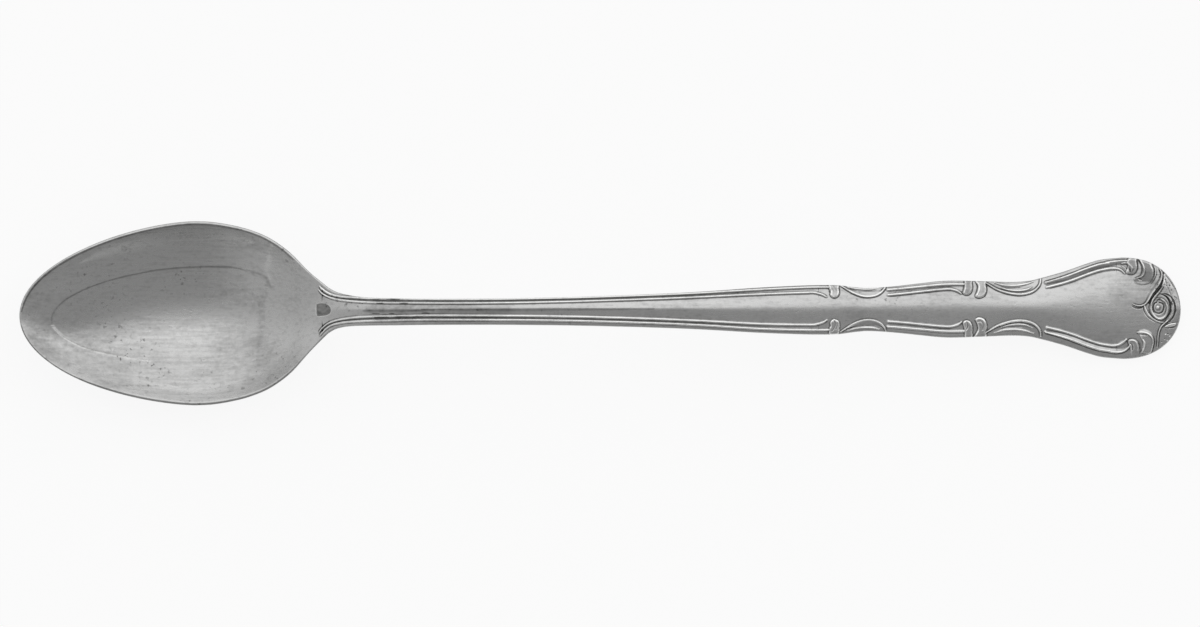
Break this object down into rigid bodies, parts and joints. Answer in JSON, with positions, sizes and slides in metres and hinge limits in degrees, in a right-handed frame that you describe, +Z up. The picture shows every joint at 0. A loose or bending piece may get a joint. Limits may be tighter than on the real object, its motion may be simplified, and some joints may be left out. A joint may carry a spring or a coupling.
{
  "type": "iced tea spoon",
  "caption": "Long slim iced tea spoon with a pointed-oval bowl, an arched stem and a waisted handle struck with threads, crescents, curls and a scrolled end.",
  "frame": {"origin": "on the surface the spoon lies on, under the middle of its length", "axes": "+X from the bowl's tip to the end of the handle, +Y across the spoon, +Z up out of the bowl"},
  "size_m": [0.1906, 0.0302, 0.0181],
  "materials": {
    "metal": "satin, finely brushed along the spoon, lightly worn",
    "struck_pattern": "satin on the raised lines, dark in the grooves"
  },
  "bodies": {
    "root": {"bowl": "metal", "neck": "metal", "stem": "metal", "waist": "metal", "flare": "metal", "tip": "metal", "neck_shield": "struck_pattern", "neck_threads": "struck_pattern", "stem_threads": "struck_pattern", "waist_crescents": "struck_pattern", "waist_threads": "struck_pattern", "waist_curls": "struck_pattern", "flare_crescents": "struck_pattern", "flare_threads": "struck_pattern", "flare_curls": "struck_pattern", "tip_buds": "struck_pattern", "tip_scroll": "struck_pattern", "tip_volute": "struck_pattern", "tip_leaves": "struck_pattern"}
  },
  "joints": []
}
